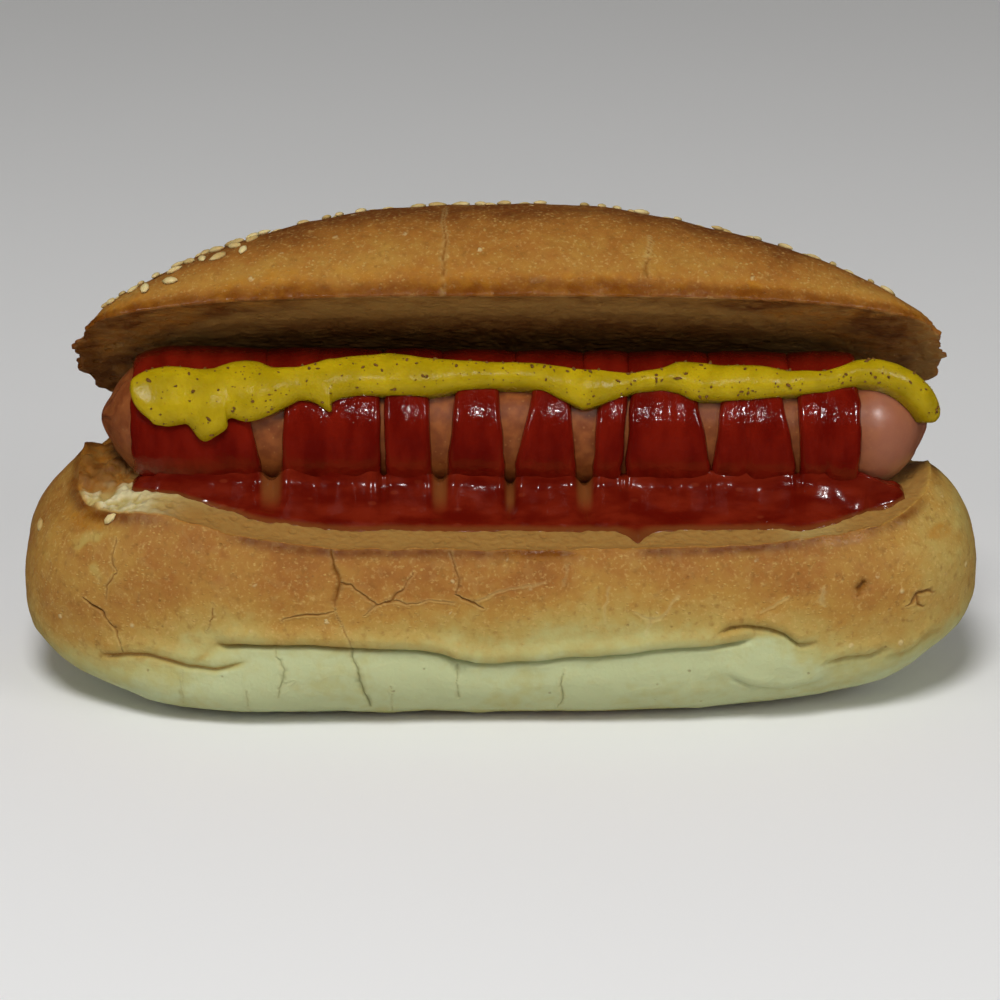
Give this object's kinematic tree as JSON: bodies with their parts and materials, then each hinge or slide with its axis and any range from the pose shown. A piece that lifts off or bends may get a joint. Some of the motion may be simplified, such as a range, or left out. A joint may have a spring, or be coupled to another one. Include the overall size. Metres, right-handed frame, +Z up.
{
  "type": "hot dog",
  "caption": "Hot dog: a sausage with bands of ketchup and a bead of mustard, in a long hinged sesame roll that is open at the front.",
  "frame": {"origin": "middle of the box that holds the whole hot dog, at the height of the surface it stands on", "axes": "+X along the roll, to the right seen from the open side; +Y from the open side to the hinge of the roll; +Z up"},
  "size_m": [0.19, 0.0748, 0.0956],
  "materials": {
    "bread": "baked crust, satin on top and matte below",
    "sausage_skin": "moist, satin",
    "ketchup": "wet and glossy",
    "mustard": "smooth, semi-gloss"
  },
  "bodies": {
    "root": {"roll": "bread", "sausage": "sausage_skin", "ketchup": "ketchup", "mustard": "mustard"}
  },
  "joints": []
}
